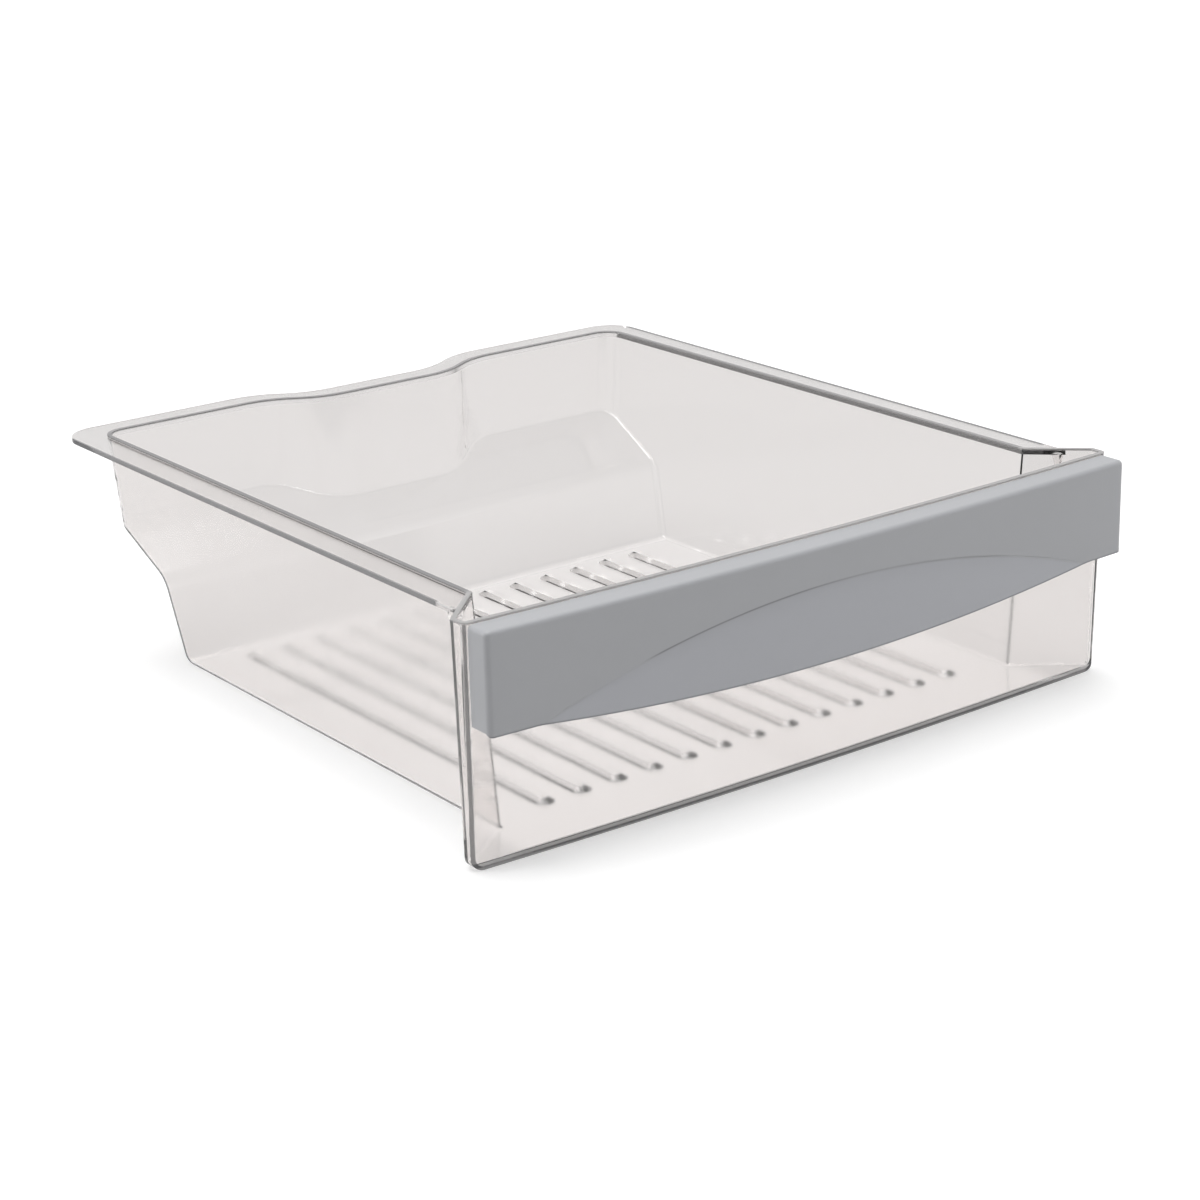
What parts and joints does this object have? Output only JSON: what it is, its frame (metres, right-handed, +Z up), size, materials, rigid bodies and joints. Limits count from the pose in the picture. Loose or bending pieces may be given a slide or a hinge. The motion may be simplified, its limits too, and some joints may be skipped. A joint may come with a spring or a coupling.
{
  "type": "refrigerator snack drawer",
  "caption": "Clear moulded drawer pan with a ribbed floor, stepped rear, flat side rims and flared front, and a grey bowed handle hooked on its front wall.",
  "frame": {"origin": "middle of the bounding box in plan, at the level of the front wall's bottom edge", "axes": "+X to the right seen from the front, +Y to the back of the refrigerator, +Z up"},
  "size_m": [0.423, 0.4478, 0.1264],
  "materials": {
    "clear_plastic": "clear, polished",
    "grey_plastic": "satin"
  },
  "bodies": {
    "pan": {"pan": "clear_plastic"},
    "handle": {"handle": "grey_plastic"}
  },
  "joints": [
    {"name": "handle_lift_off", "type": "slide", "parent": "pan", "child": "handle", "axis": [0, 0, 1], "range_m": [0, 0.07]}
  ]
}
